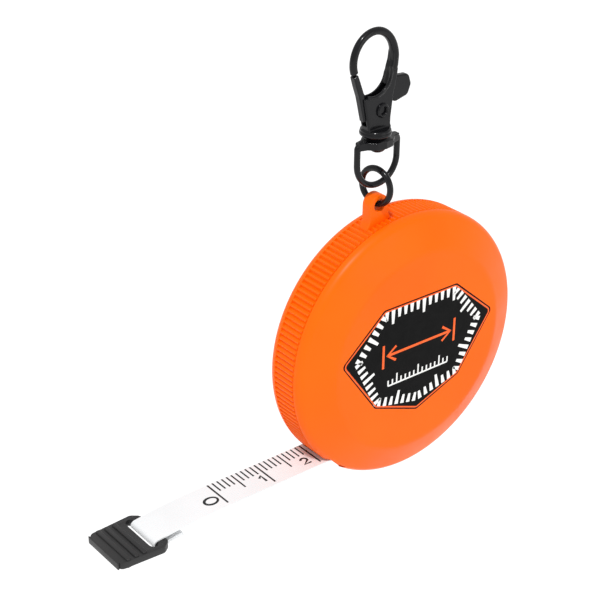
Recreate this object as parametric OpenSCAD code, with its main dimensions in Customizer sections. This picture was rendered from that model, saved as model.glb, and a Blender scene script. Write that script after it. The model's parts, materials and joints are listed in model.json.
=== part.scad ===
// Pocket tape measure: a round two-shell case with a spring-wound reel and a
// push-button brake, hung by a jump ring from a swivel snap hook.
// Millimetres. X runs right in the plane of the case, Y through the case
// (its front faces -Y) and Z up. The origin is the top of the hook's eye,
// where the whole thing hangs.

/* [Case] */
// Diameter of the case over its ribbed rim
case_d = 50; // [42:0.5:70]
// Thickness of the case at its middle
case_w = 13; // [12:0.5:20]
// Thickness of the walls of both covers
wall = 1.2; // [1:0.1:2]
// Radius of the rounded edge between rim and face
edge_r = 2; // [1.5:0.1:3]
// Radius of the flat middle of each face
flat_r = 18.8; // [16:0.1:20]
// Radius of the sphere that the outer ring of each face lies on
dome_r = 54; // [50:1:90]
// Number of ribs round the rim
rib_count = 156; // [60:4:240]
// Height of the ribs
rib_h = 0.3; // [0.1:0.05:0.6]

/* [Tape] */
// Width of the tape
tape_w = 7; // [5:0.5:8]
// Thickness of the tape
tape_t = 0.25; // [0.15:0.05:0.4]
// Outer radius of the wound tape
coil_r = 17.38; // [16:0.02:19]
// Radius of the drum that the tape is wound on
drum_r = 13.5; // [11:0.1:15]
// Distance from the middle of the case to the bar of the end tab
tape_out = 53.3; // [40:0.1:120]
// Drop of the tape between the mouth and the end tab
tape_drop = 1.0; // [0.6:0.05:1.2]

/* [End tab] */
// Length of the end tab
tab_l = 8.5; // [7:0.1:14]
// Width of the end tab
tab_w = 9.4; // [8.6:0.1:12]
// Thickness of the end tab between its ribs
tab_t = 1.5; // [1.4:0.1:2.5]

/* [Button and brake] */
// Radius of the push button
button_r = 7.2; // [5:0.1:9]
// Travel of the push button
button_travel = 1; // [0.6:0.1:1.2]

/* [Lug and ring] */
// Distance of the lug and the hook from the middle of the case, to the left
hang_x = 5.5; // [0:0.1:8]
// Radius of the jump ring, to the middle of its wire
ring_r = 3.12; // [2.8:0.02:4]
// Radius of the jump ring's wire
ring_wire = 0.55; // [0.4:0.05:0.7]
// Turn of the jump ring about the vertical
ring_yaw = 8; // [0:1:12]
// Height of the lug's top over the rim's highest point
lug_h = 4.43; // [4:0.01:6]
// Thickness of the lug, front to back
lug_w = 2.5; // [2:0.1:4]

/* [Swivel and hook] */
// Radius of the wire of the swivel's bow
bow_wire = 0.55; // [0.4:0.05:0.8]
// Half the distance between the bow's two posts
bow_half = 4.3; // [3.6:0.1:6]
// Outer radius of the hook's eye
eye_r = 5.05; // [4:0.05:8]
// Radius of the wire of the hook's eye
eye_wire = 0.65; // [0.5:0.05:1]
// Half the thickness of the hook's body
hook_half = 1; // [0.8:0.1:1.6]

/* [Hidden] */
$fn = 96;

// running clearance on a radius, and the least gap between moving faces
run = 0.06;
gap = 0.05;
over = 0.5;

// case, in its own frame: z towards the front, origin at its middle
case_r = case_d / 2;
top = case_w / 2;
fillet_c = case_r - edge_r;
dome_z = top - sqrt(dome_r * dome_r - flat_r * flat_r);
fillet_z = dome_z + sqrt(pow(dome_r - edge_r, 2) - pow(fillet_c, 2));
// the covers meet at the front end of the ribbed band
seam_z = fillet_z;
lip_l = 1.1;
lip_t = 0.6;
band_half = fillet_z;
// radius of the band under its ribs, a little below the valleys between them
band_r = case_r - 2 * gap - rib_h;
// notch along the seam
notch = 0.15;

// label, let into the front face
label_t = 0.12;
label_half = 17.1;

// reel
flange_r = coil_r + 1.6;
flange_t = 0.7;
flange_z = tape_w / 2 + 0.25;
drum_in = drum_r - 0.8;
arbor_r = 2.4;
bearing_r = 3.4;
arbor_foot = 0.7;
spring_front = flange_z - 0.35;
spring_t = 0.2;
spring_turns = 9;
spring_in = arbor_r + 0.15;

// button and brake
collar_in = button_r + 0.1;
collar_out = collar_in + 1;
collar_end = flange_z - 0.45;
stem_r = 4.4;
stem_in = 3;
cap_t = 1.1;
cap_face = top - 0.05;
brake_top = collar_end - 0.35;
brake_t = 0.9;
brake_r = 10.4;
rim_in = collar_out + 0.3;
pad_t = 0.5;
key_w = 1.2;
key_h = 0.45;
coil_wire = 0.2;
// back of the mainspring, clear of the carrier when the button is pressed
spring_back = brake_t - brake_top + button_travel + 0.45;

// tape outside the case
strip_top = -coil_r - 0.02;
strip_z = strip_top - tape_t;
strip_end = -40;
bar_r = 0.55;
bar_x = -tape_out;
loop_in = bar_r + gap;
loop_out = loop_in + tape_t;
bar_z = strip_top - tape_drop - loop_out + 0.25;
lead_r = (pow(strip_end - bar_x, 2)) / (2 * (strip_top - bar_z - loop_out));
fold_l = 5;

// mouth in the rim
mouth_w = tape_w + 0.8;
mouth_top = strip_top + 0.55;
mouth_bottom = bar_z - loop_out - 0.3;

// end tab
arm_w = (tab_w - tape_w) / 2 - 0.25;
slot_l = 1.3;
tab_rib = 0.28;
tab_pitch = 1.5;

// ring, lug, bow and hook stand one over another at this height over the middle
lug_top = case_r + lug_h;
lug_hole_r = 2 * ring_wire + gap;
lug_wall = 1.1;
lug_c = lug_top - lug_wall - lug_hole_r;
wire_z = lug_top - lug_wall - 0.15 - ring_wire;
ring_z = wire_z + ring_r;
bow_bottom = ring_z + 0.35;
bow_z = bow_bottom + bow_half;
bow_post = 4;
bow_top = bow_z + bow_post;
hub_r = 2.6;
hub_z = bow_top - 1.4;
hub_h = 1.95;
stud_r = 0.9;
head_r = 1.4;
flange_z0 = hub_z + hub_h + 0.2;
neck_r = 2.7;
neck_h = 1.2;
hook_z = flange_z0 + neck_h;

// hook outline, in x from the hook's axis and z from the body's foot
eye_x = -1.2;
eye_z = 11.6;
bight_x = -1.9;
bight_z = 8.9;
bight_r = 3.4;
pin_z = 3.1;
pin_r = 0.85;
pin_head = 1.3;
pin_head_t = 0.18;
channel = 0.5;
web = channel - gap;
lever_way_z = pin_z - 0.7;
lever_way_h = 5.45;
nose_a = 198;
gate_spring_x = 0.75;
gate_spring_r = 0.3;
gate_spring_wire = 0.1;
gate_spring_z0 = 0.7;
gate_spring_z1 = 1.75;

// place of the case's middle in the frame of the whole
hang_z = hook_z + eye_z + eye_r - 2 * eye_wire;
hang_at = [hang_x - eye_x, 0, -hang_z];

orange = [1, 0.4, 0.08];
black = [0.1, 0.1, 0.11];
grey = [0.25, 0.25, 0.26];
white = [0.95, 0.95, 0.94];
steel = [0.6, 0.62, 0.65];
cream = [0.85, 0.83, 0.76];

// ---- frames ----

// origin at the middle of the case, axes of the whole
module at_case() translate(hang_at) children();

// origin at the middle of the case, z towards its front, y up
module in_case() at_case() rotate([90, 0, 0]) children();

// an outline in x and up, drawn flat, stood up and given its depth along Y
module stand(depth) rotate([90, 0, 0])
    translate([0, 0, -depth / 2]) linear_extrude(depth) children();

// origin on the axis of ring, bow and hook, at the height of the case's middle
module at_chain() at_case() translate([-hang_x, 0, 0]) children();

module at_hook() at_chain() translate([0, 0, hook_z]) children();

// a ring of rectangular section, between two heights
module tube(r0, r1, z0, z1) translate([0, 0, z0]) difference() {
    cylinder(r = r1, h = z1 - z0);
    translate([0, 0, -over]) cylinder(r = r0, h = z1 - z0 + 2 * over);
}

// a coil of half rings, each tilted so that its ends meet the next
module coil(r, wire, length, turns) {
    pitch = (length - 2 * wire) / turns;
    tilt = atan(pitch / 4 / r);
    for (i = [0 : 2 * turns - 1])
        translate([0, 0, wire + (i + 0.5) * pitch / 2])
            rotate([0, i % 2 == 0 ? tilt : -tilt, 0])
                rotate([0, 0, i % 2 * 180])
                    rotate_extrude(angle = 180)
                        translate([r / cos(tilt), 0]) circle(r = wire, $fn = 24);
}

// ---- case ----

// half section of the case, shrunk by w, from the middle plane to the face
module half_section(w) {
    f = edge_r - w;
    t = (dome_r - w) / (dome_r - edge_r);
    rim_x = fillet_c * t;
    rim_z = dome_z + (fillet_z - dome_z) * t;
    intersection() {
        translate([0, dome_z]) circle(r = dome_r - w, $fn = 360);
        square([rim_x, top - w]);
    }
    square([case_r - w, fillet_z]);
    translate([fillet_c, fillet_z]) intersection() {
        circle(r = f);
        square(f);
    }
    polygon([[0, 0], [fillet_c, 0], [fillet_c, fillet_z], [rim_x, rim_z], [0, rim_z]]);
}

// solid of half the case, shrunk by w
module half_case(w) rotate_extrude() half_section(w);

// the slot that the tape leaves by, in the frame of the case
module mouth() translate([-case_r - 1, mouth_bottom, -mouth_w / 2])
    cube([12, mouth_top - mouth_bottom, mouth_w]);

module front_cover() color(orange) in_case() {
    difference() {
        union() {
            intersection() {
                difference() {
                    half_case(0);
                    half_case(wall);
                }
                translate([0, 0, seam_z]) cylinder(r = case_r + 1, h = case_w);
            }
            // lip that fits inside the rear cover
            tube(case_r - wall - lip_t, case_r - wall - gap, seam_z - lip_l, seam_z + 0.4);
        }
        mouth();
        // edge of the seam
        tube(case_r - notch, case_r + 1, seam_z - over, seam_z + notch);
        arbor_socket();
        label_seat();
    }
    // boss round the arbor's foot
    difference() {
        translate([0, 0, flange_z + flange_t + gap])
            cylinder(r = bearing_r + 1.4, h = top - wall - flange_z - flange_t - gap);
        arbor_socket();
    }
}

module arbor_socket() translate([0, 0, flange_z]) cylinder(r = arbor_r, h = top - flange_z - arbor_foot);

module rear_cover() {
    rear_shell();
    button_collar();
}

module rear_shell() color(orange) in_case() difference() {
    union() {
        difference() {
            union() {
                mirror([0, 0, 1]) half_case(0);
                cylinder(r = band_r, h = seam_z);
            }
            tube(band_r, case_r + 1, -band_half, seam_z + over);
        }
        ribs();
        lug();
    }
    mirror([0, 0, 1]) half_case(wall);
    cylinder(r = case_r - wall, h = case_w);
    mouth();
    // hole for the push button
    translate([0, 0, -case_w]) cylinder(r = collar_in, h = case_w);
}

// collar that guides the button and carries the reel, with slots for its keys
module button_collar() color(orange) in_case() difference() {
    tube(collar_in, collar_out, -top + wall, -collar_end);
    keys(collar_in - over, key_w + 0.2, key_h + over + 0.1, -top + wall, case_w);
}

// ribs of the grip band: a ring whose outer edge is a row of small ridges
module ribs() difference() {
    translate([0, 0, -band_half]) linear_extrude(band_half + seam_z - notch)
        polygon([for (i = [0 : 2 * rib_count - 1])
            (case_r - gap - (i % 2) * rib_h)
                * [cos(i * 180 / rib_count), sin(i * 180 / rib_count)]]);
    translate([0, 0, -case_w]) cylinder(r = band_r - 0.1, h = 2 * case_w);
}

// eyelet on the rim that the jump ring passes through
module lug() translate([-hang_x, lug_c, 0]) difference() {
    foot = lug_c - sqrt(case_r * case_r - pow(hang_x + lug_hole_r + lug_wall, 2)) + 0.8;
    union() {
        rotate_extrude() lug_section();
        for (s = [0, 1]) mirror([s, 0, 0])
            rotate([90, 0, 0]) linear_extrude(foot) lug_section();
        translate([-lug_hole_r, -foot, -lug_w / 2])
            cube([2 * lug_hole_r, foot - lug_hole_r, lug_w]);
    }
    cylinder(r = lug_hole_r, h = 2 * lug_w, center = true);
}

// section of the eyelet, rounded at its corners
module lug_section() {
    c = 0.45;
    translate([lug_hole_r, 0]) {
        translate([0, -lug_w / 2 + c]) square([lug_wall, lug_w - 2 * c]);
        translate([c, -lug_w / 2]) square([lug_wall - 2 * c, lug_w]);
        for (x = [c, lug_wall - c], y = [c - lug_w / 2, lug_w / 2 - c])
            translate([x, y]) circle(r = c, $fn = 24);
    }
}

// seven-sided label on the flat of the front face
module label_outline(grow) {
    points = [[-label_half, 3.1], [-8.8, 11.3], [8.8, 11.3], [label_half, 3.1],
        [10.4, -8.6], [0, -11.2], [-10.4, -8.6]];
    scale((label_half + grow) / label_half * flat_r / 18.8) polygon(points);
}
module label_seat() translate([0, 0, top - label_t]) linear_extrude(1) label_outline(0.1);
module front_label() color(black) in_case() translate([0, 0, top - label_t])
    linear_extrude(label_t) label_outline(0);

// ---- reel ----

module reel_arbor() color(steel) in_case() difference() {
    union() {
        translate([0, 0, spring_back]) cylinder(r = arbor_r, h = top - arbor_foot - spring_back);
        translate([0, 0, flange_z - 0.05]) cylinder(r = bearing_r, h = flange_t + 0.1);
    }
    // slit that holds the inner end of the mainspring
    translate([-0.2, -arbor_r - 1, spring_back - over])
        cube([0.4, 2 * arbor_r + 2, spring_front - spring_back + over]);
}

module reel_drum() color(cream) in_case() {
    tube(drum_in, drum_r, -flange_z, flange_z + 0.1);
    tube(bearing_r + run, flange_r, flange_z, flange_z + flange_t);
}

module reel_lid() color(cream) in_case()
    tube(collar_out + run, flange_r, -flange_z - flange_t, -flange_z);

// flat spiral of half rings about two centres half a pitch apart
module mainspring() color(steel) in_case() {
    // a whole number of hundredths, so that each half ring meets the next exactly
    step = floor(100 * (drum_in - 0.5 - spring_in) / (2 * spring_turns)) / 100;
    translate([0, 0, spring_back + 0.1])
        for (i = [0 : 2 * spring_turns - 1])
            translate([i % 2 * step, 0, 0]) rotate([0, 0, i % 2 * 180])
                rotate_extrude(angle = 180) translate([spring_in + i * step, 0])
                    square([spring_t, spring_front - spring_back - 0.1]);
}

module tape_coil() color(white) in_case() tube(drum_r, coil_r, -tape_w / 2, tape_w / 2);

// ---- tape outside the reel ----

module tape_strip() color(white) at_case()
    translate([strip_end, -tape_w / 2, strip_z]) cube([-strip_end, tape_w, tape_t]);

// the lead bends down, passes over the tab's bar, round it and back beneath
module tape_loop() color(white) at_case() stand(tape_w) {
    a = atan((strip_end - bar_x) / lead_r);
    intersection() {
        translate([strip_end, strip_top - lead_r]) difference() {
            circle(r = lead_r, $fn = 720);
            circle(r = lead_r - tape_t, $fn = 720);
        }
        translate([bar_x, bar_z - 5]) square([strip_end - bar_x, 10]);
    }
    translate([bar_x, bar_z]) difference() {
        circle(r = loop_out);
        circle(r = loop_in);
        translate([0, -5]) square(10);
    }
    translate([bar_x - 0.01, bar_z - loop_out]) square([fold_l, tape_t]);
}

// tab with ribs on both faces, a slot and a bar for the tape
module end_tab() color(grey) at_case() translate([bar_x, 0, bar_z]) {
    slot_x = -bar_r - slot_l;
    end_x = bar_r - tab_l;
    inner = tab_w - 2 * arm_w;
    difference() {
        translate([0, 0, -tab_t / 2]) linear_extrude(tab_t) tab_outline(end_x);
        translate([slot_x, -inner / 2, -tab_t]) cube([10, inner, 2 * tab_t]);
    }
    translate([0, inner / 2 + arm_w / 2, 0]) rotate([90, 0, 0])
        cylinder(r = bar_r, h = inner + arm_w, $fn = 48);
    for (i = [0 : 2], s = [-1, 1])
        translate([slot_x - 2.2 - i * tab_pitch, 0, s * tab_t / 2]) rotate([90, 0, 0])
            cylinder(r = tab_rib, h = tab_w - 0.8, center = true, $fn = 24);
}

module tab_outline(end_x) {
    c = 0.9;
    w = tab_w / 2;
    polygon([[bar_r, c - w], [bar_r - c, -w], [end_x + c, -w], [end_x, c - w],
        [end_x, w - c], [end_x + c, w], [bar_r - c, w], [bar_r, w - c]]);
}

// ---- button and brake ----

// blocks that stand out from radius r, at three places round the axis
module keys(r, w, h, z, length) for (a = [90 : 120 : 330]) rotate([0, 0, a])
    translate([r, -w / 2, z]) cube([h, w, length]);

module push_button() color(black) in_case() difference() {
    union() {
        translate([0, 0, -cap_face]) cylinder(r = button_r, h = cap_face - collar_end - 0.4);
        translate([0, 0, -cap_face]) cylinder(r = stem_r, h = cap_face - brake_top + brake_t);
        keys(button_r - 0.3, key_w, key_h + 0.3, -top + wall + gap, 0.8);
    }
    // dished face
    translate([0, 0, -cap_face - 60 + 0.35]) sphere(r = 60, $fn = 180);
    // underside of the cap, and seat of the return spring
    tube(stem_r, button_r - 0.9, -cap_face + cap_t + 0.4, 0);
    translate([0, 0, -cap_face + cap_t + 0.4]) cylinder(r = stem_in, h = case_w);
}

// disc that is snapped on the button's stem and faces the lid from inside
module brake_carrier() color(grey) in_case() {
    tube(stem_r, brake_r, -brake_top, -brake_top + brake_t);
    tube(rim_in, brake_r, -flange_z + pad_t + gap, -brake_top + brake_t);
}

module brake_pad() color(black) in_case()
    tube(rim_in, brake_r, -flange_z + gap, -flange_z + pad_t + gap);

module button_spring() color(steel) in_case()
    translate([0, 0, -cap_face + cap_t + 0.4 + 0.02])
        coil(arbor_r - coil_wire, coil_wire, cap_face - cap_t - 0.4 + spring_back - 0.04, 5);

// ---- ring and swivel ----

// bent wire, its ends meeting at the top back with a fine cut between
module jump_ring() color(black) at_chain() translate([0, 0, ring_z])
    rotate([0, 0, ring_yaw]) rotate([0, 90, 0]) rotate([0, 0, 205])
        rotate_extrude(angle = 357) translate([ring_r, 0]) circle(r = ring_wire, $fn = 32);

module swivel_bow() color(black) at_chain() difference() {
    union() {
        translate([0, 0, bow_z]) rotate([90, 0, 0]) rotate([0, 0, 180])
            rotate_extrude(angle = 180) translate([bow_half, 0]) circle(r = bow_wire, $fn = 32);
        for (s = [-1, 1]) translate([s * bow_half, 0, bow_z])
            cylinder(r = bow_wire, h = bow_post, $fn = 32);
        // arms that widen towards the hub
        translate([0, 0, hub_z]) linear_extrude(bow_top - hub_z)
            polygon([[-bow_half, -bow_wire], [-0.8, 0.3 - hub_r], [0.8, 0.3 - hub_r],
                [bow_half, -bow_wire], [bow_half, bow_wire], [0.8, hub_r - 0.3],
                [-0.8, hub_r - 0.3], [-bow_half, bow_wire]]);
        translate([0, 0, hub_z]) cylinder(r = hub_r, h = hub_h);
    }
    translate([0, 0, hub_z - over]) cylinder(r = stud_r + run, h = hub_h + 2 * over);
}

// stud of the swivel, headed under the bow's hub
module swivel_rivet() color(steel) at_chain() {
    translate([0, 0, hub_z - 0.3]) cylinder(r = stud_r, h = hook_z - hub_z + 0.3);
    translate([0, 0, hub_z - gap - 0.45]) cylinder(r = head_r, h = 0.45);
}

// ---- hook ----

// the opening of the hook, wide above and narrower in the bight
module hook_opening() {
    r = eye_r - 2 * eye_wire;
    translate([eye_x, eye_z]) circle(r = r);
    translate([bight_x, bight_z]) circle(r = bight_r);
    polygon([[eye_x - r, eye_z], [eye_x + r, eye_z],
        [bight_x + bight_r, bight_z], [bight_x - bight_r, bight_z]]);
}

// body and spine, seen from the front
module body_outline() difference() {
    polygon([[-3.5, 0], [1.2, 0], [1.5, 2.1], [1.75, 3.6], [2.3, 4.9], [3.1, 8],
        [eye_x + eye_r, eye_z], [-3.9, eye_z], [-3.9, 5.4]]);
    hook_opening();
    translate([-9, 7]) square([8, 10]);
}

// room inside the body for the gate, open on the left
module channel_outline() difference() {
    union() {
        translate([0, gate_spring_z0 - 0.02]) body_outline();
        translate([-6, 1.2]) square([2.8, 8]);
    }
    translate([1.55, 0]) square([3, 3.1]);
    translate([2.6, 7.9]) square([3, 5]);
    translate([-9, 0]) square([5.6 - 0.1, 0.9]);
    polygon([[0.7, 8], [4, 8], [4, 13], [0.7, 13]]);
}

module hook_body() color(black) at_hook() {
    difference() {
        union() {
            stand(2 * hook_half) body_outline();
            translate([eye_x, 0, eye_z]) rotate([90, 0, 0])
                rotate_extrude(angle = nose_a) translate([eye_r - eye_wire, 0])
                    circle(r = eye_wire, $fn = 32);
        }
        stand(2 * channel) channel_outline();
        // way through the spine for the thumb lever
        translate([0.5, -channel, lever_way_z]) cube([5, 2 * channel, lever_way_h]);
        translate([0, 0, pin_z]) rotate([90, 0, 0])
            cylinder(r = pin_r, h = 4 * hook_half, center = true);
    }
    // flange over the swivel
    translate([0, 0, -neck_h]) difference() {
        cylinder(r = neck_r, h = neck_h);
        translate([0, 0, -over]) cylinder(r = stud_r, h = neck_h + over);
    }
}

// gate bar, web and thumb lever
module hook_gate() color(black) at_hook() difference() {
    union() {
        stand(2 * web) {
            polygon([[-5.35, 8], [-4.9, 5.6], [-4.35, 4.3], [-4.1, 2.9], [-3.75, 1.55],
                [-2.6, 1.5], [-1, pin_z - 1.15], [0.3, pin_z - 1.1], [1, pin_z - 1.2],
                [1.4, pin_z], [3.2, 4.7], [3.4, 7.2], [0, pin_z + 1.5], [-2.2, 4.6], [-3.35, 6.4],
                [-3.9, 8]]);
        }
        // bar outside the body, up to the nose
        stand(1.3) polygon([[-6.05, 9.4], [-5.6, 7.4], [-5.1, 6.1], [-4.1, 6.1],
            [-3.5, 6.75], [-3.6, 7.4], [-4.2, 8.8], [-4.7, 9.95], [-5.2, 9.95]]);
        // thumb lever
        stand(1.6) polygon([[3.75, 4.95], [5.8, 5.1], [6.2, 5.6], [6.35, 6.6],
            [6.1, 7.4], [5.6, 7.85], [3.95, 7.6]]);
        stand(2 * web) polygon([[3, 4.7], [4, 5.1], [4, 7.5], [3, 7.2]]);
    }
    translate([0, 0, pin_z]) rotate([90, 0, 0])
        cylinder(r = pin_r + run, h = 4, center = true);
}

// tubular rivet, flared on both faces of the body
module gate_pin() color(steel) at_hook() translate([0, 0, pin_z]) rotate([90, 0, 0]) difference() {
    union() {
        cylinder(r = pin_r, h = 2 * (hook_half + pin_head_t), center = true);
        for (s = [0, 1]) mirror([0, 0, s]) translate([0, 0, hook_half])
            cylinder(r = pin_head, h = pin_head_t);
    }
    cylinder(r = pin_r - 0.35, h = 4 * hook_half, center = true);
}

module gate_spring() color(steel) at_hook()
    translate([gate_spring_x, 0, gate_spring_z0])
        coil(gate_spring_r, gate_spring_wire, gate_spring_z1 - gate_spring_z0, 4);

front_cover();
rear_cover();
front_label();
reel_arbor();
reel_drum();
reel_lid();
mainspring();
tape_coil();
tape_strip();
tape_loop();
end_tab();
push_button();
brake_carrier();
brake_pad();
button_spring();
jump_ring();
swivel_bow();
swivel_rivet();
hook_body();
hook_gate();
gate_pin();
gate_spring();
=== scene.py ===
"""Round pocket tape measure on a snap hook. Shapes are made in millimetres and placed in metres."""

import json
from math import asin, atan2, cos, degrees, hypot, pi, radians, sin, sqrt

import bmesh
import bpy
from mathutils import Matrix, Vector


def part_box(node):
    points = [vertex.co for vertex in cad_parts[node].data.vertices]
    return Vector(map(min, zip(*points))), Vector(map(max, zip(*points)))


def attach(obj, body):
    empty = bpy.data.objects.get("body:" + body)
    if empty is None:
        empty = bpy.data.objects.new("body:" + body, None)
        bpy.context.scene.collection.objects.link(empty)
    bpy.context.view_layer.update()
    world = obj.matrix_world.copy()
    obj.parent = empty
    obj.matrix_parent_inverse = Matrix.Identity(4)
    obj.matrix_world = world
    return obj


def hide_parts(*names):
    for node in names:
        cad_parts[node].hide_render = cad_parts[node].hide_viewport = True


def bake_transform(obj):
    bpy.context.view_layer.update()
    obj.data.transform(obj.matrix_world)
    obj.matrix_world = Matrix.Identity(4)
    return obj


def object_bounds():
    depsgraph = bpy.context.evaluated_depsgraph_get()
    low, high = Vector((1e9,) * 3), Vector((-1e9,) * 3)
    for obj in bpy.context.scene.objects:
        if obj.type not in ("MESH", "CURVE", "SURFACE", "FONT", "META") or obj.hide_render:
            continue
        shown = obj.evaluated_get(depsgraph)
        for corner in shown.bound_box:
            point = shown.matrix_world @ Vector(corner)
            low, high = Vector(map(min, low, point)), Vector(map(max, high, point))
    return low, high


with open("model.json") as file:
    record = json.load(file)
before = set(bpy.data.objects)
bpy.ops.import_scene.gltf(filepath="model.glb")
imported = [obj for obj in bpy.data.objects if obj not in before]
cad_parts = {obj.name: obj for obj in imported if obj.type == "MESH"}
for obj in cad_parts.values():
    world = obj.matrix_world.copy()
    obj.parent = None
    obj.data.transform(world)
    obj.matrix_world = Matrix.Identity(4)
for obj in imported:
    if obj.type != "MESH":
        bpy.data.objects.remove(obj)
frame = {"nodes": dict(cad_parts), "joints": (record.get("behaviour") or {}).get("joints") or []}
cad_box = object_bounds()
joints = {j["name"]: j for j in frame["joints"]}

MM = 0.001

# ---- places, from the frame, in millimetres ----
case_at = Vector(joints["reel_spin"]["pos_m"]) / MM
chain_at = Vector((joints["swivel_spin"]["pos_m"][0] / MM, 0, case_at.z))
ring_lo, ring_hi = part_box("jump_ring")
ring_z = (ring_lo.z + ring_hi.z) / 2 / MM - case_at.z
pin_foot = 1.8  # from the hook's base up to the lowest point of its pin
hook_at = chain_at + Vector((0, 0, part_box("gate_pin")[0].z / MM - case_at.z - pin_foot))
bar_at = Vector(joints["tab_swing"]["pos_m"]) / MM

# ---- case, in millimetres ----
case_r = 25.0
case_top = 6.5
wall = 1.2
flat_r = 18.8
dome_r = 54.0
edge_r = 2.0
fillet_c = case_r - edge_r
dome_z = case_top - sqrt(dome_r**2 - flat_r**2)
seam = dome_z + sqrt((dome_r - edge_r) ** 2 - fillet_c**2)
notch = 0.15
rib_count = 156
rib_h = 0.4
button_hole = 7.3
face_steps = 288
mouth_room = 0.4
lug_z = 27.52

# ---- tape and tab ----
tape_w = 7.0
tape_t = 0.25
strip_top = -17.4
strip_end = -40.0
zero_x = -38.9
bar_r = 0.55
tab_l = 8.5
tab_w = 9.4
tab_t = 1.2
bar_gap = 0.05
loop_spread = 1.24
fold_l = 5.0
fold_rise = 0.42
mark_count = 22

# ---- chain ----
ring_r = 3.12
ring_wire = 0.55
ring_sweep = 357
ring_yaw = 8
ring_cut = 205
bow_half = 4.3
bow_wire = 0.55
bow_z = 35.4
bow_top = 39.4
hub_z = 38.0
hub_r = 2.3
flange_r = 2.72
flange_h = 1.2
eye_x = -1.2
eye_z = 11.6
eye_r = 5.05
bight_x = -1.9
bight_z = 9.25
bight_r = 3.5
pin_z = 3.1

in_case = Matrix.Rotation(pi / 2, 4, "X")


# ---- small helpers ----


def arc(cx, cy, r, start, end, count):
    """Points along an arc, from one angle to another, in degrees."""
    return [
        (cx + r * cos(radians(a)), cy + r * sin(radians(a)))
        for a in (start + (end - start) * i / (count - 1) for i in range(count))
    ]


def between(low, high, count):
    return [low + (high - low) * i / (count - 1) for i in range(count)]


def temporary(bm):
    """An object holding a bmesh, for modifiers to work on."""
    mesh = bpy.data.meshes.new("work")
    bm.to_mesh(mesh)
    bm.free()
    obj = bpy.data.objects.new("work", mesh)
    bpy.context.scene.collection.objects.link(obj)
    return obj


def taken(obj):
    """A bmesh of an object with its modifiers applied. The object goes."""
    bpy.context.view_layer.update()
    evaluated = obj.evaluated_get(bpy.context.evaluated_depsgraph_get())
    bm = bmesh.new()
    bm.from_mesh(evaluated.to_mesh())
    evaluated.to_mesh_clear()
    bpy.data.objects.remove(obj)
    return bm


def cut(bm, tool):
    """bm with another shape cut away from it."""
    obj, cutter = temporary(bm), temporary(tool)
    boolean = obj.modifiers.new("cut", "BOOLEAN")
    boolean.operation = "DIFFERENCE"
    boolean.solver = "EXACT"
    boolean.object = cutter
    result = taken(obj)
    bpy.data.objects.remove(cutter)
    return result


def cast(bm, voxel, smooth):
    """bm as one die-cast skin, with a small fillet wherever two forms meet."""
    obj = temporary(bm)
    remesh = obj.modifiers.new("skin", "REMESH")
    remesh.mode = "VOXEL"
    remesh.voxel_size = voxel
    smoothing = obj.modifiers.new("soften", "SMOOTH")
    smoothing.factor = 0.5
    smoothing.iterations = smooth
    return taken(obj)


def joined(*parts):
    """Several bmeshes as one."""
    whole = bmesh.new()
    for part in parts:
        mesh = bpy.data.meshes.new("work")
        part.to_mesh(mesh)
        part.free()
        whole.from_mesh(mesh)
        bpy.data.meshes.remove(mesh)
    return whole


def bmesh_in_case(bm):
    """From a shape about the case's axis, z towards the front, to the whole's axes."""
    bmesh.ops.transform(bm, matrix=in_case, verts=bm.verts)
    return bm


def piece(bm, name, body, material, at=case_at, sharp=32, stands_for=()):
    """Places a bmesh made in millimetres, names it and lets it ride on a body."""
    bmesh.ops.translate(bm, verts=bm.verts, vec=at)
    bmesh.ops.scale(bm, verts=bm.verts, vec=(MM, MM, MM))
    mesh = bpy.data.meshes.new(name)
    bm.to_mesh(mesh)
    bm.free()
    mesh.shade_smooth()
    mesh.set_sharp_from_angle(angle=radians(sharp))
    mesh.materials.append(material)
    obj = bpy.data.objects.new(name, mesh)
    bpy.context.scene.collection.objects.link(obj)
    if body:
        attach(obj, body)
    if stands_for:
        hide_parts(*stands_for)
    return obj


def turned(profile, steps, closed=False):
    """A profile of (radius, height) points spun round Z."""
    bm = bmesh.new()
    verts = [bm.verts.new((r, 0, h)) for r, h in profile]
    pairs = list(zip(verts, verts[1:]))
    if closed:
        pairs.append((verts[-1], verts[0]))
    edges = [bm.edges.new(pair) for pair in pairs]
    bmesh.ops.spin(
        bm, geom=verts + edges, cent=(0, 0, 0), axis=(0, 0, 1), angle=2 * pi,
        steps=steps, use_merge=True,
    )
    bmesh.ops.remove_doubles(bm, verts=bm.verts, dist=1e-4)
    bmesh.ops.recalc_face_normals(bm, faces=bm.faces)
    return bm


def plate(outline, low, high, rounding=0.0, segments=3):
    """An outline in x and z, given its depth along y and rounded edges."""
    bm = bmesh.new()
    face = bm.faces.new([bm.verts.new((x, low, z)) for x, z in outline])
    made = bmesh.ops.extrude_face_region(bm, geom=[face])["geom"]
    moved = [g for g in made if isinstance(g, bmesh.types.BMVert)]
    bmesh.ops.translate(bm, verts=moved, vec=(0, high - low, 0))
    bmesh.ops.recalc_face_normals(bm, faces=bm.faces)
    if rounding:
        rims = [
            e for e in bm.edges
            if abs(e.verts[0].co.y - e.verts[1].co.y) < 1e-6
        ]
        soften(bm, rims, rounding, segments)
    return bm


def soften(bm, edges, offset, segments=3):
    bmesh.ops.bevel(
        bm, geom=edges, offset=offset, segments=segments, profile=0.5,
        affect="EDGES", material=-1, clamp_overlap=True,
    )


def block(low, high, rounding=0.0):
    """A box between two corners."""
    bm = bmesh.new()
    bmesh.ops.create_cube(bm, size=1)
    size = Vector(high) - Vector(low)
    bmesh.ops.scale(bm, verts=bm.verts, vec=size)
    bmesh.ops.translate(bm, verts=bm.verts, vec=(Vector(high) + Vector(low)) / 2)
    if rounding:
        soften(bm, bm.edges[:], rounding)
    return bm


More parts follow.
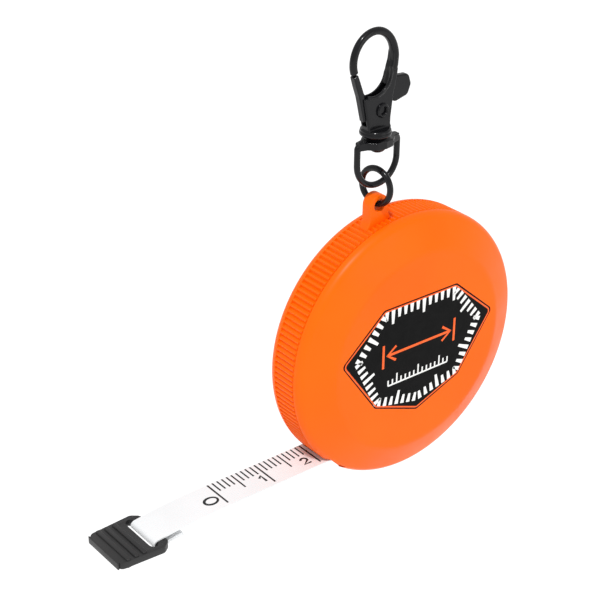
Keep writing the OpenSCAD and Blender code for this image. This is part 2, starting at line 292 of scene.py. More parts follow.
class Rod:
    """A bar grown from a ring of points: straight runs, bends and changes of section."""

    def __init__(self, at, facing, radius, sides=28):
        self.bm = bmesh.new()
        made = bmesh.ops.create_circle(self.bm, segments=sides, radius=radius)
        turn = Vector((0, 0, 1)).rotation_difference(Vector(facing)).to_matrix().to_4x4()
        bmesh.ops.transform(
            self.bm, matrix=Matrix.Translation(at) @ turn, verts=made["verts"]
        )
        self.ring = self.bm.edges[:]
        self.centre = Vector(at)

    def verts(self):
        return list({v for e in self.ring for v in e.verts})

    def _grown(self):
        made = bmesh.ops.extrude_edge_only(self.bm, edges=self.ring)["geom"]
        fresh = {g for g in made if isinstance(g, bmesh.types.BMVert)}
        self.ring = [
            e for e in {e for v in fresh for e in v.link_edges}
            if e.verts[0] in fresh and e.verts[1] in fresh
        ]

    def run(self, step, grow=(1, 1, 1)):
        """A straight run, at whose end the section is scaled about its middle."""
        self._grown()
        bmesh.ops.translate(self.bm, verts=self.verts(), vec=step)
        self.centre += Vector(step)
        self.scale(grow)

    def bend(self, centre, axis, angle, steps, grow=(1, 1, 1)):
        """A bend about a centre, in even steps."""
        turn = Matrix.Rotation(radians(angle) / steps, 3, axis)
        for _ in range(steps):
            self._grown()
            bmesh.ops.rotate(self.bm, verts=self.verts(), cent=centre, matrix=turn)
            self.centre = Vector(centre) + turn @ (self.centre - Vector(centre))
            self.scale(tuple(g ** (1 / steps) for g in grow))

    def scale(self, grow):
        if tuple(grow) != (1, 1, 1):
            bmesh.ops.scale(
                self.bm, verts=self.verts(), vec=grow,
                space=Matrix.Translation(-self.centre),
            )

    def closed(self):
        """The rod with both its ends filled."""
        rims = [e for e in self.bm.edges if e.is_boundary]
        bmesh.ops.holes_fill(self.bm, edges=rims, sides=0)
        bmesh.ops.recalc_face_normals(self.bm, faces=self.bm.faces)
        return self.bm


def inked(strokes, width, lift, cyclic=False):
    """Flat printed lines through rows of points in x and y, at a height."""
    curve = bpy.data.curves.new("ink", "CURVE")
    curve.dimensions = "3D"
    curve.bevel_depth = width / 2
    curve.bevel_resolution = 3
    curve.use_fill_caps = True
    for points in strokes:
        spline = curve.splines.new("POLY")
        spline.points.add(len(points) - 1)
        for spot, (x, y) in zip(spline.points, points):
            spot.co = (x, y, 0, 1)
        spline.use_cyclic_u = cyclic
    obj = bpy.data.objects.new("ink", curve)
    bpy.context.scene.collection.objects.link(obj)
    bm = taken(obj)
    bmesh.ops.scale(bm, verts=bm.verts, vec=(1, 1, 0.03 / width))
    bmesh.ops.translate(bm, verts=bm.verts, vec=(0, 0, lift))
    return bm


# ---- materials ----


class Finish:
    """A principled surface whose colour, roughness and bump come from procedural nodes."""

    def __init__(self, name, roughness, metallic=0.0, specular=0.5, coat=0.0):
        self.material = bpy.data.materials.new(name)
        self.material.use_nodes = True
        self.nodes = self.material.node_tree.nodes
        self.links = self.material.node_tree.links
        self.shader = self.nodes["Principled BSDF"]
        self.shader.inputs["Roughness"].default_value = roughness
        self.shader.inputs["Metallic"].default_value = metallic
        self.shader.inputs["Specular IOR Level"].default_value = specular
        self.shader.inputs["Coat Weight"].default_value = coat
        self.shader.inputs["Coat Roughness"].default_value = 0.09
        self.coordinates = self.nodes.new("ShaderNodeTexCoord").outputs["Object"]
        self.height = None

    def stretched(self, x, y, z):
        node = self.nodes.new("ShaderNodeMapping")
        node.inputs["Scale"].default_value = (x, y, z)
        self.links.new(self.coordinates, node.inputs["Vector"])
        return node.outputs["Vector"]

    def noise(self, scale, detail=3.0, rough=0.5, vector=None):
        node = self.nodes.new("ShaderNodeTexNoise")
        node.inputs["Scale"].default_value = scale
        node.inputs["Detail"].default_value = detail
        node.inputs["Roughness"].default_value = rough
        self.links.new(vector or self.coordinates, node.inputs["Vector"])
        return node.outputs["Fac"]

    def ramp(self, value, stops):
        node = self.nodes.new("ShaderNodeValToRGB")
        while len(node.color_ramp.elements) < len(stops):
            node.color_ramp.elements.new(0.5)
        for element, (place, colour) in zip(node.color_ramp.elements, stops):
            element.position = place
            element.color = (*colour, 1)
        self.links.new(value, node.inputs["Fac"])
        return node.outputs["Color"]

    def span(self, value, low, high):
        """Noise, whose values lie mostly between 0.3 and 0.7, spread from low to high."""
        node = self.nodes.new("ShaderNodeMapRange")
        node.inputs["From Min"].default_value = 0.3
        node.inputs["From Max"].default_value = 0.7
        node.inputs["To Min"].default_value = low
        node.inputs["To Max"].default_value = high
        self.links.new(value, node.inputs["Value"])
        return node.outputs["Result"]

    def colour(self, value, *stops):
        self.links.new(self.ramp(value, stops), self.shader.inputs["Base Color"])

    def rough(self, value, low, high):
        self.links.new(self.span(value, low, high), self.shader.inputs["Roughness"])

    def bump(self, value, distance, strength=1.0):
        node = self.nodes.new("ShaderNodeBump")
        node.inputs["Distance"].default_value = distance
        node.inputs["Strength"].default_value = strength
        self.links.new(value, node.inputs["Height"])
        if self.height:
            self.links.new(self.height, node.inputs["Normal"])
        self.height = node.outputs["Normal"]
        self.links.new(self.height, self.shader.inputs["Normal"])


def moulded(name, deep, light, roughness, grain=0.00001, scale=2600, specular=0.5):
    """Injection-moulded plastic: a fine spark-eroded grain and faint flow in its colour."""
    f = Finish(name, roughness, specular=specular)
    flow = f.noise(60, 2)
    f.colour(flow, (0.3, deep), (0.7, light))
    texture = f.noise(scale, 4, 0.6)
    f.rough(f.noise(240, 3), roughness - 0.05, roughness + 0.06)
    f.bump(texture, grain)
    return f.material


def lacquered(name, deep, light, roughness, coat):
    """Black lacquer over metal: slight orange peel, and fine scuffs in its gloss."""
    f = Finish(name, roughness, specular=0.12, coat=coat)
    f.colour(f.noise(300, 4), (0.3, deep), (0.75, light))
    scuffs = f.noise(1, 3, 0.6, f.stretched(2200, 2200, 500))
    f.rough(scuffs, roughness - 0.07, roughness + 0.1)
    f.bump(f.noise(1400, 2), 0.000012)
    return f.material


def drawn_steel(name, deep, light, roughness, along=(300, 4000, 300)):
    """Bare steel with the fine lines that drawing or turning leaves."""
    f = Finish(name, roughness, metallic=1.0)
    lines = f.noise(1, 4, 0.6, f.stretched(*along))
    f.colour(lines, (0.3, deep), (0.7, light))
    f.rough(lines, roughness - 0.08, roughness + 0.1)
    f.bump(lines, 0.000006)
    return f.material


def coated_cloth(name, deep, light):
    """White vinyl over glass cloth, whose weave shows faintly through."""
    f = Finish(name, 0.42, specular=0.25)
    f.colour(f.noise(90, 3), (0.3, deep), (0.7, light))
    weave = []
    for direction in ("X", "Y"):
        wave = f.nodes.new("ShaderNodeTexWave")
        wave.bands_direction = direction
        wave.inputs["Scale"].default_value = 700
        wave.inputs["Distortion"].default_value = 0.6
        wave.inputs["Detail Scale"].default_value = 2
        f.links.new(f.coordinates, wave.inputs["Vector"])
        weave.append(wave.outputs["Fac"])
    f.bump(weave[0], 0.000012, 0.5)
    f.bump(weave[1], 0.000012, 0.5)
    f.rough(f.noise(400, 2), 0.36, 0.5)
    return f.material


def printed(name, deep, light, roughness=0.45, specular=0.3):
    """Screen-printed ink, a little uneven in its cover."""
    f = Finish(name, roughness, specular=specular)
    f.colour(f.noise(900, 4, 0.7), (0.3, deep), (0.7, light))
    f.rough(f.noise(500, 3), roughness - 0.06, roughness + 0.08)
    f.bump(f.noise(3000, 2), 0.000004)
    return f.material


orange = moulded("case_orange", (0.97, 0.125, 0.001), (1.0, 0.14, 0.002), 0.34, 0.000006, specular=0.12)
button_black = moulded("button_black", (0.012, 0.012, 0.013), (0.022, 0.022, 0.024), 0.4, specular=0.35)
tab_grey = moulded("tab_grey", (0.016, 0.016, 0.017), (0.028, 0.027, 0.027), 0.42, 0.000014, 1800, 0.35)
natural = moulded("reel_natural", (0.66, 0.63, 0.55), (0.74, 0.71, 0.63), 0.45)
rubber = moulded("brake_rubber", (0.012, 0.012, 0.012), (0.03, 0.03, 0.03), 0.8, 0.00002, 1500, 0.3)
hook_black = lacquered("hook_black", (0.004, 0.004, 0.005), (0.007, 0.007, 0.008), 0.25, 0.25)
wire_black = lacquered("wire_black", (0.005, 0.005, 0.006), (0.009, 0.009, 0.01), 0.27, 0.25)
steel = drawn_steel("turned_steel", (0.42, 0.43, 0.45), (0.6, 0.61, 0.63), 0.3)
spring_steel = drawn_steel("spring_steel", (0.2, 0.21, 0.23), (0.36, 0.37, 0.39), 0.28)
tape_white = coated_cloth("tape_white", (0.76, 0.77, 0.78), (0.81, 0.82, 0.83))
scale_ink = printed("scale_ink", (0.006, 0.006, 0.006), (0.02, 0.02, 0.02))
label_film = printed("label_film", (0.002, 0.002, 0.002), (0.004, 0.004, 0.004), 0.45, 0.06)
label_white = printed("label_white", (0.82, 0.82, 0.8), (0.92, 0.92, 0.9), 0.4)
label_orange = printed("label_orange", (0.85, 0.09, 0.006), (1.0, 0.14, 0.01), 0.4)


# ---- case ----


def face_profile(w):
    """(radius, height) points of a case half shrunk by w, from the flat out to the seam."""
    r = dome_r - w
    f = edge_r - w
    start = flat_r - w * 0.3
    tangent = degrees(atan2(seam - dome_z, fillet_c))
    rim = fillet_c * r / (dome_r - edge_r)
    flat = [(x, case_top - w) for x in (start - 6, start - 2.5, start - 0.8, start - 0.22)]
    dome = [(x, dome_z + sqrt(r * r - x * x)) for x in between(start + 0.22, rim, 12)]
    fillet = arc(fillet_c, seam, f, tangent, 4.0, 14)[1:]
    return flat + dome + fillet


def front_cover():
    outer = [(0, case_top), (6, case_top)] + face_profile(0)
    seam_face = [
        (case_r - notch, seam + 0.06), (case_r - notch - 0.05, seam),
        (case_r - wall - 0.05, seam), (case_r - wall - 0.05, seam - 1.1),
        (case_r - wall - 0.6, seam - 1.1), (case_r - wall - 0.6, seam + 0.8),
    ]
    inner = [(x, z) for x, z in reversed(face_profile(wall)) if x < case_r - wall - 0.62]
    return turned(outer + seam_face + inner + [(0, case_top - wall)], face_steps)


def rear_cover():
    """The rear half, whose rim is shaped into fine ribs."""
    hole = [(button_hole, -case_top + 0.5), (button_hole, -case_top + 0.18)]
    hole += [(x, -z) for x, z in arc(button_hole + 0.18, case_top - 0.18, 0.18, 180, 90, 4)[1:]]
    outer = [(x, -z) for x, z in face_profile(0)]
    band = [(case_r, -seam + 0.02), (case_r, -seam + 0.06)]
    band += [(case_r, z) for z in between(-seam + 0.5, seam - 0.3, 5)]
    band += [(case_r - 0.02, seam - 0.2), (case_r - rib_h - 0.08, seam - 0.08)]
    back = [(case_r - rib_h - 0.12, seam), (case_r - wall, seam)]
    inner = [(x, -z) for x, z in reversed(face_profile(wall))]
    end = [(button_hole + 1, -case_top + wall), (button_hole, -case_top + wall)]
    bm = turned(hole + outer + band + back + inner + end, rib_count * 6, closed=True)
    for v in bm.verts:
        r = hypot(v.co.x, v.co.y)
        if r > case_r - 0.1 and -seam + 0.04 < v.co.z < seam - 0.1:
            dip = (0.5 - 0.5 * cos(rib_count * atan2(v.co.y, v.co.x))) ** 1.4
            v.co.xy *= (r - rib_h * dip) / r
    return bm


def button_collar():
    """Collar that guides the button, inside the rear cover."""
    outer = button_hole + 1
    foot, end = -case_top + 0.6, -3.3
    points = [(button_hole, foot), (button_hole, end), (outer, end), (outer, foot)]
    return turned(points, 96, closed=True)


def mouth():
    """The slot in the rim that the tape leaves by."""
    side = tape_w / 2 + mouth_room
    return block((-26.5, -side, -20.2), (-12.6, side, -16.9), 0.25)


def lug():
    """Eyelet on the rim, its foot spread into the band."""
    hole_r, outer_r, half = 1.12, 1.98, 1.08
    right = [(1.98, -0.7), (1.98, -1.3), (2.02, -1.75), (2.15, -2.1), (2.4, -2.5), (2.5, -2.9)]
    left = [(-2.7, -4.3), (-2.6, -3.75), (-2.25, -3.2), (-2.05, -2.6), (-2.0, -1.9), (-1.98, -0.9)]
    outline = arc(0, 0, outer_r, 180, 0, 25) + right + [(1.2, -3.3), (-1.2, -3.9)] + left
    bm = bmesh.new()
    loops = []
    for points in (outline, [(hole_r * x / hypot(x, z), hole_r * z / hypot(x, z)) for x, z in outline]):
        verts = [bm.verts.new((x, -half, z)) for x, z in points]
        loops += [bm.edges.new(pair) for pair in zip(verts, verts[1:] + verts[:1])]
    bmesh.ops.bridge_loops(bm, edges=loops)
    made = bmesh.ops.extrude_face_region(bm, geom=bm.faces[:])["geom"]
    moved = [g for g in made if isinstance(g, bmesh.types.BMVert)]
    bmesh.ops.translate(bm, verts=moved, vec=(0, 2 * half, 0))
    bmesh.ops.recalc_face_normals(bm, faces=bm.faces)
    rims = [
        e for e in bm.edges
        if len(e.link_faces) == 2 and e.calc_face_angle() > 1.2
        and abs(e.verts[0].co.y - e.verts[1].co.y) < 1e-4
    ]
    soften(bm, rims, 0.34, 4)
    bmesh.ops.translate(bm, verts=bm.verts, vec=(0, 0, lug_z))
    return bm


def make_case():
    shell = cut(bmesh_in_case(front_cover()), mouth())
    piece(shell, "front_shell", "case", orange, stands_for=["front_cover"])
    shell = cut(bmesh_in_case(rear_cover()), mouth())
    shell = joined(shell, bmesh_in_case(button_collar()))
    piece(shell, "rear_shell", "case", orange, stands_for=["rear_cover"])
    piece(lug(), "rim_lug", "case", orange, at=chain_at)


# ---- label ----


def label_outline():
    """Seven-sided outline whose upper and lower side corners are rounded, x and up."""
    corners = [
        (-16.6, 2.7, 0.3), (-9.1, 12.0, 2.2), (9.1, 12.0, 2.2), (16.6, 2.7, 0.3),
        (10.8, -9.2, 2.2), (0, -11.7, 0.8), (-10.8, -9.2, 2.2),
    ]
    return rounded(corners, 6)


def rounded(corners, count):
    """An outline through corners given as (x, y, radius)."""
    points = []
    for i, (x, y, r) in enumerate(corners):
        here = Vector((x, y))
        a = (Vector(corners[i - 1][:2]) - here).normalized()
        b = (Vector(corners[(i + 1) % len(corners)][:2]) - here).normalized()
        half = a.angle(b) / 2
        centre = here + (a + b).normalized() * r / sin(half)
        first = here + a * r / (sin(half) / cos(half)) - centre
        last = here + b * r / (sin(half) / cos(half)) - centre
        for k in range(count):
            swing = first.slerp(last, k / (count - 1))
            points.append(tuple(centre + swing))
    return points


def ticks_along(a, b, pitch, width, long, short):
    """Graduation ticks on the line from a to b, pointing to its right, every fifth one long."""
    along = (b - a).normalized()
    inward = Vector((along.y, -along.x))
    count = int((b - a).length // pitch)
    start = ((b - a).length - (count - 1) * pitch) / 2
    for i in range(count):
        middle = a + along * (start + i * pitch)
        reach = inward * (long if i % 5 == count // 2 % 5 else short)
        side = along * width / 2
        yield [middle - side, middle + side, middle + side * 0.6 + reach, middle - side * 0.6 + reach]


def label_ticks():
    """A plain dial-like border of graduation ticks."""
    pitch, width, long, short = 1.42, 0.85, 2.7, 1.7
    corners = [(-14.9, 2.5), (-8.6, 10.3), (8.6, 10.3), (14.9, 2.5), (9.9, -7.9), (0, -10.1), (-9.9, -7.9)]
    bm = bmesh.new()
    for i, corner in enumerate(corners):
        a, b = Vector(corner), Vector(corners[(i + 1) % len(corners)])
        for tick in ticks_along(a, b, pitch, width, long, short):
            bm.faces.new([bm.verts.new((p.x, p.y, 0)) for p in tick])
    return bm


def slab(bm, low, high):
    """Flat faces given a thickness along z."""
    bmesh.ops.recalc_face_normals(bm, faces=bm.faces)
    for v in bm.verts:
        v.co.z = low
    made = bmesh.ops.extrude_face_region(bm, geom=bm.faces[:])["geom"]
    moved = [g for g in made if isinstance(g, bmesh.types.BMVert)]
    bmesh.ops.translate(bm, verts=moved, vec=(0, 0, high - low))
    bmesh.ops.recalc_face_normals(bm, faces=bm.faces)
    return bm


def make_label():
    film_top = case_top + 0.03
    bm = bmesh.new()
    bm.faces.new([bm.verts.new((x, y, 0)) for x, y in label_outline()])
    film = bmesh_in_case(slab(bm, case_top - 0.06, film_top))
    piece(film, "label_base", "case", label_film, stands_for=["front_label"])
    inner = [(x * 0.973, y * 0.962) for x, y in label_outline()]
    line = bmesh_in_case(inked([inner], 0.3, film_top, cyclic=True))
    piece(line, "label_border", "case", label_orange)
    marks = bmesh_in_case(slab(label_ticks(), film_top - 0.02, film_top + 0.01))
    piece(marks, "label_ticks", "case", label_white)
    arrow = [
        [(-7.4, 1.6), (7.4, 1.6)], [(-5.4, 3.0), (-7.4, 1.6), (-5.4, 0.2)],
        [(5.4, 3.0), (7.4, 1.6), (5.4, 0.2)], [(-8.3, 3.9), (-8.3, -0.7)], [(8.3, 3.9), (8.3, -0.7)],
    ]
    arrow = bmesh_in_case(inked(arrow, 0.5, film_top))
    piece(arrow, "label_arrow", "case", label_orange)
    ticks = [[(-7, -4.6), (7, -4.6)]]
    ticks += [[(-7 + i, -4.6), (-7 + i, -2.6 if i % 5 == 2 else -3.5)] for i in range(15)]
    ticks = bmesh_in_case(inked(ticks, 0.32, film_top))
    piece(ticks, "label_ruler", "case", label_white)


# ---- tape ----


def make_tape():
    strip = block((strip_end - 0.02, -tape_w / 2, strip_top - tape_t), (0, tape_w / 2, strip_top))
    cuts = [e for e in strip.edges if abs(e.verts[0].co.x - e.verts[1].co.x) > 1]
    bmesh.ops.subdivide_edges(strip, edges=cuts, cuts=59, use_grid_fill=True)
    obj = piece(strip, "free_tape", None, tape_white, stands_for=["tape_strip"])
    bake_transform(obj)
    piece(tape_lead(), "tape_lead", "tape", tape_white, stands_for=["tape_loop"])
    piece(scale_marks(), "scale_marks", "tape", scale_ink)


def tape_lead():
    """From the straight run down to the tab's bar, round it and back beneath."""
    bar = bar_at - case_at
    loop = bar_r + bar_gap
    drop = strip_top - (bar.z + loop + tape_t)
    run = strip_end - bar.x
    r = run * run / (2 * drop)
    bend = degrees(asin(run / r))
    top = arc(strip_end, strip_top - r, r, 90, 90 + bend, 18)
    round_bar = arc(bar.x, bar.z, loop + tape_t, 90, 270, 20)
    round_bar = [(bar.x + (x - bar.x) * loop_spread, z) for x, z in round_bar]
    low = bar.z - loop - tape_t
    under = [
        (bar.x + d, low + fold_rise * (1 - cos(pi * d / fold_l)) / 2)
        for d in between(0.4, fold_l, 8)
    ]
    bm = bmesh.new()
    verts = [bm.verts.new((x, -tape_w / 2, z)) for x, z in top + round_bar[1:] + under]
    edges = [bm.edges.new(pair) for pair in zip(verts, verts[1:])]
    made = bmesh.ops.extrude_edge_only(bm, edges=edges)["geom"]
    moved = [g for g in made if isinstance(g, bmesh.types.BMVert)]
    bmesh.ops.translate(bm, verts=moved, vec=(0, tape_w, 0))
    bmesh.ops.recalc_face_normals(bm, faces=bm.faces)
    middle = min(bm.faces, key=lambda f: abs(f.calc_center_median().x - (strip_end - 2)))
    thickness = tape_t if middle.normal.z > 0 else -tape_t
    bmesh.ops.solidify(bm, geom=bm.faces[:], thickness=thickness)
    bmesh.ops.recalc_face_normals(bm, faces=bm.faces)
    return bm


def scale_marks():
    """Millimetre, half-centimetre and centimetre ticks from 0, with their numbers."""
    lift = strip_top + 0.004
    far = tape_w / 2 - 0.15
    parts = []
    for i in range(mark_count):
        x = zero_x + i
        length = 6.2 if i % 10 == 0 else 4.35 if i % 5 == 0 else 2.65
        half = 0.18 if i % 10 == 0 else 0.16
        parts.append(block((x - half, far - length, lift - 0.02), (x + half, far, lift)))
    zero = [(zero_x - 2.05 + 1.25 * cos(a), -0.75 + 0.95 * sin(a)) for a in between(0, 2 * pi, 41)[:-1]]
    parts.append(inked([zero], 0.5, lift - 0.01, cyclic=True))
    one_x = zero_x + 10 - 1.05
    parts.append(inked([[(one_x - 0.65, -0.5), (one_x, 0.1), (one_x, -1.8)]], 0.56, lift - 0.01))
    two_x = zero_x + 20 - 2.1
    two = arc(two_x, -0.75, 0.62, 165, -28, 12)
    two += [(two_x - 0.7, -1.9), (two_x + 0.8, -1.9)]
    parts.append(inked([two], 0.5, lift - 0.01))
    return joined(*parts)


# ---- tab ----


def make_tab():
    half = tab_w / 2
    left = bar_r - tab_l
    arm = 0.95
    slot_x = -bar_r - 0.62
    outline = rounded(
        [
            (bar_r + 0.1, -half + arm, 0.25), (bar_r + 0.1, -half + 0.75, 0.3), (bar_r - 0.75, -half, 0.35),
            (left + 0.2, -half, 0.75), (left, -half + 0.4, 0.4), (left, half - 0.4, 0.4),
            (left + 0.2, half, 0.75), (bar_r - 0.75, half, 0.35), (bar_r + 0.1, half - 0.75, 0.3),
            (bar_r + 0.1, half - arm, 0.25), (slot_x, half - arm, 0.3), (slot_x, -half + arm, 0.3),
        ],
        4,
    )
    bm = bmesh.new()
    bm.faces.new([bm.verts.new((x, y, 0)) for x, y in outline])
    slab(bm, -tab_t / 2, tab_t / 2)
    rims = [e for e in bm.edges if abs(e.verts[0].co.z - e.verts[1].co.z) < 1e-5]
    soften(bm, rims, 0.3, 3)
    parts = [bm]
    bar = Rod((0, -half + 0.5, 0), (0, 1, 0), bar_r)
    bar.run((0, tab_w - 1, 0))
    parts.append(bar.closed())
    for i in range(3):
        for side in (-1, 1):
            x = slot_x - 2.3 - 1.55 * i
            z = side * tab_t / 2
            low, high = (x - 0.42, -half - 0.16, z - 0.3), (x + 0.42, half + 0.16, z + 0.3)
            parts.append(block(low, high, 0.2))
    piece(joined(*parts), "grip_tab", "tab", tab_grey, at=bar_at, stands_for=["end_tab"])


# ---- push button ----


def make_button():
    """Dished button with a rounded rim and a hollow stem."""
    r = button_hole - 0.12
    face = -case_top + 0.02
    outer = [(0, face + 0.42), (2, face + 0.4), (4, face + 0.3), (5.6, face + 0.14), (6.3, face + 0.03)]
    outer += [(x, -z) for x, z in arc(r - 0.35, -face - 0.35, 0.35, 90, 0, 6)]
    under = [(r, face + 2.3), (r - 0.9, face + 2.3), (r - 0.9, face + 1.5), (4.4, face + 1.5)]
    stem = [(4.4, -2.3), (3, -2.3), (3, face + 1.5), (0, face + 1.5)]
    bm = bmesh_in_case(turned(outer + under + stem, 128))
    piece(bm, "button_cap", "button", button_black, stands_for=["push_button"])


# ---- ring and swivel ----


def make_ring():
    """Bent wire whose ends meet with a fine cut between them."""
    rod = Rod((ring_r, 0, 0), (0, 1, 0), ring_wire)
    rod.bend((0, 0, 0), "Z", ring_sweep, 170)
    bm = rod.closed()
    place = (
        Matrix.Translation((0, 0, ring_z))
        @ Matrix.Rotation(radians(ring_yaw), 4, "Z")
        @ Matrix.Rotation(pi / 2, 4, "Y")
        @ Matrix.Rotation(radians(ring_cut), 4, "Z")
    )
    bmesh.ops.transform(bm, matrix=place, verts=bm.verts)
    piece(bm, "bent_ring", "ring", wire_black, at=chain_at, stands_for=["jump_ring"])


def make_bow():
    arm_z = bow_top - 0.75
    corner = 0.35
    rod = Rod((-1.5, 0, arm_z), (-1, 0, 0), bow_wire)
    rod.run((1.5 - bow_half + corner, 0, 0))
    rod.bend((-bow_half + corner, 0, arm_z - corner), "Y", -90, 8)
    rod.run((0, 0, bow_z - arm_z + corner))
    rod.bend((0, 0, bow_z), "Y", -180, 48)
    rod.run((0, 0, arm_z - corner - bow_z))
    rod.bend((bow_half - corner, 0, arm_z - corner), "Y", -90, 8)
    rod.run((1.5 - bow_half + corner, 0, 0))
    arms = bmesh.new()
    outline = [
        (-bow_half, -bow_wire), (-2.9, -0.95), (-1.7, -2.0), (0, -2.35), (1.7, -2.0), (2.9, -0.95),
        (bow_half, -bow_wire), (bow_half, bow_wire), (2.9, 0.95), (1.7, 2.0), (0, 2.35), (-1.7, 2.0),
        (-2.9, 0.95), (-bow_half, bow_wire),
    ]
    arms.faces.new([arms.verts.new((x, y, 0)) for x, y in outline])
    slab(arms, hub_z + 0.1, bow_top)
    hub = turned(
        [(0.96, hub_z), (hub_r - 0.25, hub_z), (hub_r, hub_z + 0.25), (hub_r, hub_z + 1.45),
         (hub_r - 0.45, hub_z + 1.95), (0.96, hub_z + 1.95)],
        72, closed=True,
    )
    bm = cast(joined(rod.closed(), arms, hub), 0.075, 5)
    piece(
        bm, "swivel_yoke", "bow", hook_black, at=chain_at, sharp=60,
        stands_for=["swivel_bow"],
    )


def make_rivet():
    head = arc(0, hub_z - 0.05, 1.5, -90, 0, 10)
    points = [(x, hub_z - 0.05 + (z - hub_z + 0.05) * 0.72) for x, z in head]
    points += [(0.9, hub_z - 0.05), (0.9, hub_z + 3.2), (0, hub_z + 3.2)]
    bm = turned(points, 64)
    piece(bm, "swivel_stud", "hook", hook_black, at=chain_at, stands_for=["swivel_rivet"])


# ---- hook ----


def eye_bar():
    """The hook's eye: round at the nose, thinner over the top, and flat and wide down the spine."""
    mid_r = eye_r - 0.66
    nose = 199
    at = (eye_x + mid_r * cos(radians(nose)), 0, eye_z + mid_r * sin(radians(nose)))
    facing = (sin(radians(nose)), 0, -cos(radians(nose)))
    rod = Rod(at, facing, 0.66, sides=32)
    rod.bend((eye_x, 0, eye_z), "Y", 109, 40, grow=(0.9, 0.95, 0.9))
    rod.bend((eye_x, 0, eye_z), "Y", 90, 32, grow=(1.36, 1.5, 1.36))
    rod.run((-0.2, 0, -1.5), grow=(1.08, 1.04, 1))
    rod.run((-0.42, 0, -1.6), grow=(1.1, 1.02, 1))
    rod.run((-0.45, 0, -1.3))
    bm = rod.closed()
    for v in bm.verts:
        over = v.co.z - eye_z
        v.co.z = eye_z + over * (1.085 if over > 0 else 1)
        v.co.x -= 0.055 * max(0.0, v.co.x - eye_x)
    return bm


def spine_faces():
    """The spine's squared front and back, from the side of the eye down into the body."""
    outline = [
        (1.5, 8.2), (1.8, 9.9), (2.15, 11.0), (2.2, 12.4), (2.3, 13.6), (2.75, 13.4), (3.05, 12.5),
        (3.2, 11.3), (3.12, 9.6), (2.8, 8.0),
    ]
    bm = plate(outline, -0.84, 0.84, 0.2)
    for v in bm.verts:
        v.co.y *= 1 - 0.28 * max(0.0, v.co.z - 11.8)
    return bm


def crescent_rim():
    """A rounded bead round the front edge of the opening, from the spine to the gate."""
    start = 16
    r = bight_r + 0.12
    bead_y = -0.92
    at = (bight_x + r * cos(radians(start)), bead_y, bight_z + r * sin(radians(start)))
    rod = Rod(at, (sin(radians(start)), 0, -cos(radians(start))), 0.27, sides=16)
    rod.bend((bight_x, bead_y, bight_z), "Y", start + 112, 40)
    return rod.closed()


def body_plate():
    """The hook's body seen from the front, open on its left for the gate."""
    bight = arc(bight_x, bight_z, bight_r, -8, -88, 18)
    outline = [(-2.7, -0.3), (2.2, -0.3), (1.92, 0.4), (1.94, 1.6), (2.1, 3.0), (2.35, 5.2), (2.7, 6.8)]
    outline += [(3.0, 8.2), (3.2, 9.6), (1.9, 9.6)]
    outline += bight
    outline += [(-2.9, 5.66), (-3.9, 5.6), (-3.35, 2.8)]
    return plate(outline, -1.0, 1.0, 0.26)


def body_channel():
    """Room inside the body for the gate, and the way through its back for the thumb lever."""
    inside = [
        (-6, 0.75), (0.9, 0.75), (1.05, 2.2), (1.15, 2.6), (5, 2.6), (5, 7.75), (1.35, 7.75), (1.3, 8.1),
        (0.2, 9.6), (-6, 9.6),
    ]
    return plate(inside, -0.55, 0.55)


def make_hook():
    flange = turned(
        [(0, -flange_h), (flange_r - 0.2, -flange_h), (flange_r, -flange_h + 0.2), (flange_r, -0.62),
         (flange_r - 0.12, -0.5), (flange_r - 0.12, -0.22), (flange_r - 0.3, -0.02), (0, 0.06)],
        72,
    )
    bmesh.ops.translate(flange, verts=flange.verts, vec=(-0.5, 0, 0))
    body = cut(body_plate(), body_channel())
    bm = cast(joined(body, eye_bar(), spine_faces(), crescent_rim(), flange), 0.07, 4)
    piece(
        bm, "hook_frame", "hook", hook_black, at=hook_at, sharp=60,
        stands_for=["hook_body"],
    )
    web = plate(
        [(-4.4, 6.3), (-4.0, 4.3), (-3.6, 2.9), (-3.3, 1.65), (-2.6, 1.45), (-1, 1.95), (0.3, 2.0),
         (0.95, 2.3), (1.4, 3.9), (3.9, 4.9), (3.9, 7.35), (3.0, 7.2), (0, 4.6), (-2.2, 4.6), (-3.3, 6.3)],
        -0.42, 0.42, 0.06, 1,
    )
    bar = plate(
        [(-5.78, 9.55), (-5.27, 7.88), (-4.62, 6.05), (-4.25, 4.6), (-3.93, 3.22),
         (-3.55, 1.66), (-3.0, 1.66), (-3.15, 4.4), (-3.45, 6.2), (-3.7, 6.75), (-4.44, 8.73),
         (-4.93, 9.93), (-5.22, 9.96)],
        -0.62, 0.62, 0.16, 2,
    )
    lever = plate(
        rounded(
            [(3.1, 4.55, 0.2), (5.45, 4.7, 0.55), (6.1, 6.2, 0.6), (5.45, 7.62, 0.5),
             (3.3, 7.4, 0.2)],
            7,
        ),
        -0.6, 0.6, 0.25,
    )
    bm = cast(joined(web, bar, lever), 0.06, 4)
    piece(
        bm, "snap_gate", "gate", hook_black, at=hook_at, sharp=60,
        stands_for=["hook_gate"],
    )
    pin = turned(
        [(0.58, -0.9), (0.62, -1.25), (0.78, -1.45), (1.02, -1.45), (1.22, -1.25),
         (1.28, -0.92), (0.84, -0.9), (0.84, 0.9), (1.28, 0.92), (1.22, 1.25), (1.02, 1.45),
         (0.78, 1.45), (0.62, 1.25), (0.58, 0.9)],
        48, closed=True,
    )
    bmesh_in_case(pin)
    bmesh.ops.translate(pin, verts=pin.verts, vec=(0, 0, pin_z))
    piece(pin, "pin_sleeve", "hook", hook_black, at=hook_at, stands_for=["gate_pin"])


# ---- pieces kept from the frame ----


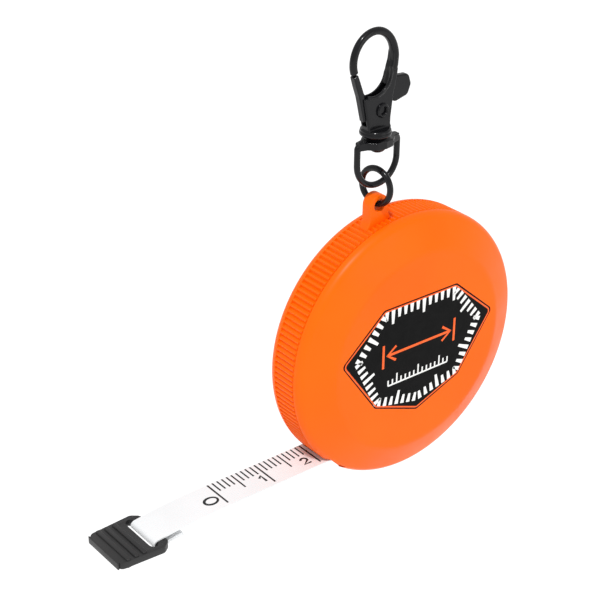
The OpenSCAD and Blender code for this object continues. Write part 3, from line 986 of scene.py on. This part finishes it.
def finish_kept_nodes():
    finishes = {
        "reel_arbor": steel, "reel_drum": natural, "reel_lid": natural, "mainspring": spring_steel,
        "tape_coil": tape_white, "brake_carrier": button_black, "brake_pad": rubber,
        "button_spring": spring_steel, "gate_spring": spring_steel,
    }
    for name, material in finishes.items():
        mesh = frame["nodes"][name].data
        mesh.materials.clear()
        mesh.materials.append(material)


# ---- floor, light and camera ----


def make_stage():
    low = cad_box[0][2] - 0.5
    bm = bmesh.new()
    bmesh.ops.create_grid(bm, x_segments=1, y_segments=1, size=6)
    mesh = bpy.data.meshes.new("floor")
    bm.to_mesh(mesh)
    bm.free()
    floor = bpy.data.objects.new("floor", mesh)
    floor.location = (0, 0, low)
    bpy.context.scene.collection.objects.link(floor)
    pale = Finish("floor_pale", 0.9, specular=0.1)
    pale.colour(pale.noise(4, 2), (0.2, (0.93, 0.93, 0.93)), (0.8, (0.95, 0.95, 0.95)))
    floor.data.materials.append(pale.material)
    world = bpy.data.worlds.new("studio")
    world.use_nodes = True
    world.node_tree.nodes["Background"].inputs["Color"].default_value = (1, 1, 1, 1)
    world.node_tree.nodes["Background"].inputs["Strength"].default_value = 0.7
    bpy.context.scene.world = world
    sun_light("key", (-0.34, -0.36, 0.85), 6, 1.9)
    area_light("front", (0.2, -0.6, 0.1), 0.3, 0.5)


def sun_light(name, place, width, power):
    """An even light from one side, as soft as its width in degrees."""
    data = bpy.data.lights.new(name, "SUN")
    data.energy = power
    data.angle = radians(width)
    light = bpy.data.objects.new(name, data)
    light.rotation_euler = Vector(place).to_track_quat("Z", "Y").to_euler()
    bpy.context.scene.collection.objects.link(light)


def area_light(name, place, size, power):
    """A soft square light that looks at the middle of the object."""
    data = bpy.data.lights.new(name, "AREA")
    data.size = size
    data.energy = power
    light = bpy.data.objects.new(name, data)
    middle = Vector((0, 0, -0.045))
    light.location = middle + Vector(place)
    light.rotation_euler = Vector(place).to_track_quat("Z", "Y").to_euler()
    bpy.context.scene.collection.objects.link(light)


def make_camera():
    azimuth, elevation, roll = radians(-38.32), radians(28.03), radians(0.37)
    aim, distance = Vector((-4.7, 12.8, -51.0)) * MM, 0.2677
    back = Vector((cos(elevation) * sin(azimuth), -cos(elevation) * cos(azimuth), sin(elevation)))
    data = bpy.data.cameras.new("view")
    data.lens = 90
    data.sensor_width = 36
    data.clip_start = 0.01
    camera = bpy.data.objects.new("view", data)
    turn = back.to_track_quat("Z", "Y").to_matrix().to_4x4() @ Matrix.Rotation(roll, 4, "Z")
    camera.matrix_world = Matrix.Translation(aim + back * distance) @ turn
    bpy.context.scene.collection.objects.link(camera)
    bpy.context.scene.camera = camera
    bpy.context.scene.view_settings.view_transform = "Standard"


make_camera()
make_case()
make_label()
make_tape()
make_tab()
make_button()
make_ring()
make_bow()
make_rivet()
make_hook()
finish_kept_nodes()
make_stage()
